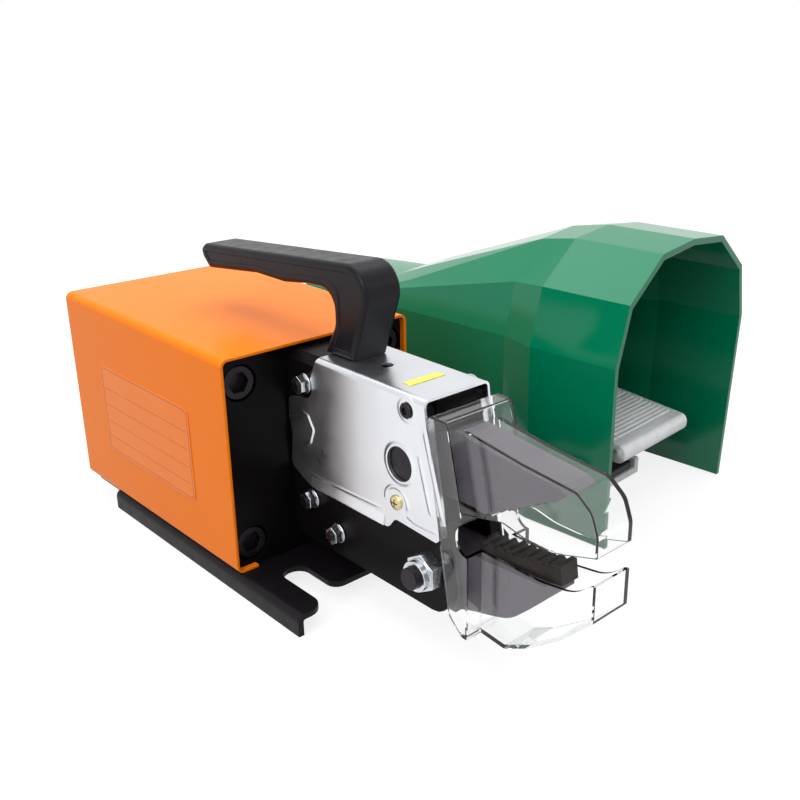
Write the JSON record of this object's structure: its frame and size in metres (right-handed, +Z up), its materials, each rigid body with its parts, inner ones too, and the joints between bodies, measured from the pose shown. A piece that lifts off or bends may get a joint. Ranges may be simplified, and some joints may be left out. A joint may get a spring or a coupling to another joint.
{
  "type": "terminal crimping machine",
  "caption": "Bench-top pneumatic terminal crimping machine: boxed air cylinder, side-plate head with a closing jaw behind a clear guard, carrying handle, and a hooded foot valve.",
  "frame": {"origin": "on the floor plane, under the middle of the bounding box of the machine and its foot valve together", "axes": "+Z up; the jaws point to -Y and the cylinder lies along Y; the foot valve stands on the +X side, its mouth also towards -Y"},
  "size_m": [0.293, 0.3554, 0.164],
  "materials": {
    "black_paint": "satin",
    "orange_paint": "satin",
    "green_paint": "satin",
    "orange_plate": "satin",
    "yellow_film": "satin",
    "black_steel": "satin",
    "bright_steel": "satin",
    "tool_steel": "satin",
    "zinc_steel": "satin",
    "chrome": "polished",
    "hard_chrome": "polished",
    "aluminium": "satin",
    "black_aluminium": "anodised",
    "brass": "satin",
    "rubber": "matte",
    "black_plastic": "satin",
    "clear_plastic": "clear"
  },
  "bodies": {
    "base": {"base_plate": "black_paint", "base_screws": "black_steel", "body_cover": "orange_paint", "rating_plate": "orange_plate", "front_head": "black_aluminium", "cylinder_barrel": "aluminium", "rear_head": "black_aluminium", "tie_bolts": "black_steel", "barrel_seals": "rubber", "rod_bush": "brass", "rod_seal": "rubber", "return_spring": "bright_steel", "side_plate_left": "black_steel", "side_plate_right": "black_steel", "frame_bolts": "black_steel", "frame_washers": "zinc_steel", "frame_nuts": "zinc_steel", "jaw_bolt": "black_steel", "lock_nut": "zinc_steel", "head_spacer": "black_steel", "lower_jaw": "tool_steel", "lower_die": "black_steel", "lower_die_screws": "bright_steel", "wear_strip": "brass", "pivot_pin": "black_steel", "jaw_spring": "bright_steel", "head_cover": "chrome", "cover_screws": "brass", "marker_strip": "yellow_film", "handle": "black_plastic", "handle_bolt": "black_steel", "guard": "clear_plastic", "pedal_hood": "green_paint", "hood_screws": "zinc_steel", "pedal_base": "aluminium", "rubber_feet": "rubber", "rubber_bumper": "rubber", "treadle_pin": "bright_steel", "treadle_spring": "bright_steel", "valve_body": "aluminium", "valve_caps": "black_plastic", "cap_screws": "black_steel", "valve_screws": "black_steel", "spool_spring": "bright_steel", "silencers": "brass"},
    "ram": {"piston": "aluminium", "piston_seal": "rubber", "piston_nut": "zinc_steel", "piston_rod": "hard_chrome", "wedge": "tool_steel", "wedge_pin": "bright_steel"},
    "upper_jaw": {"upper_jaw": "tool_steel", "upper_die": "black_steel", "upper_die_screws": "bright_steel", "roller_pin": "bright_steel"},
    "roller": {"roller": "bright_steel"},
    "treadle": {"treadle": "aluminium"},
    "spool": {"valve_spool": "hard_chrome", "spool_seals": "rubber"}
  },
  "joints": [
    {"name": "ram_slide", "type": "slide", "parent": "base", "child": "ram", "axis": [0, -1, 0], "range_m": [0, 0.036], "stiffness_N_per_m": 1500, "springref_m": -0.03, "deforming": ["return_spring"]},
    {"name": "jaw_hinge", "type": "hinge", "parent": "base", "child": "upper_jaw", "pos_m": [-0.09096, -0.0766, 0.0861], "axis": [1, 0, 0], "range_deg": [0, 21], "stiffness_Nm_per_rad": 0.8, "springref_deg": -51.57, "deforming": ["jaw_spring"]},
    {"name": "roller_spin", "type": "hinge", "parent": "upper_jaw", "child": "roller", "pos_m": [-0.09096, -0.0436, 0.0741], "axis": [1, 0, 0], "range_deg": [-313, 0]},
    {"name": "treadle_hinge", "type": "hinge", "parent": "base", "child": "treadle", "pos_m": [0.07329, 0.01295, 0.038], "axis": [0.9974, 0.0715, 0], "range_deg": [0, 12], "stiffness_Nm_per_rad": 3, "springref_deg": -17.19, "deforming": ["treadle_spring"]},
    {"name": "spool_slide", "type": "slide", "parent": "base", "child": "spool", "axis": [-0.0715, 0.9974, 0], "range_m": [0, 0.00303], "stiffness_N_per_m": 400, "springref_m": -0.004, "deforming": ["spool_spring"]}
  ],
  "couplings": [
    {"joint": "jaw_hinge", "follows": "ram_slide", "rad_per_m": 10.181},
    {"joint": "roller_spin", "follows": "ram_slide", "rad_per_m": -149.59},
    {"joint": "spool_slide", "follows": "treadle_hinge", "m_per_rad": 0.014}
  ]
}
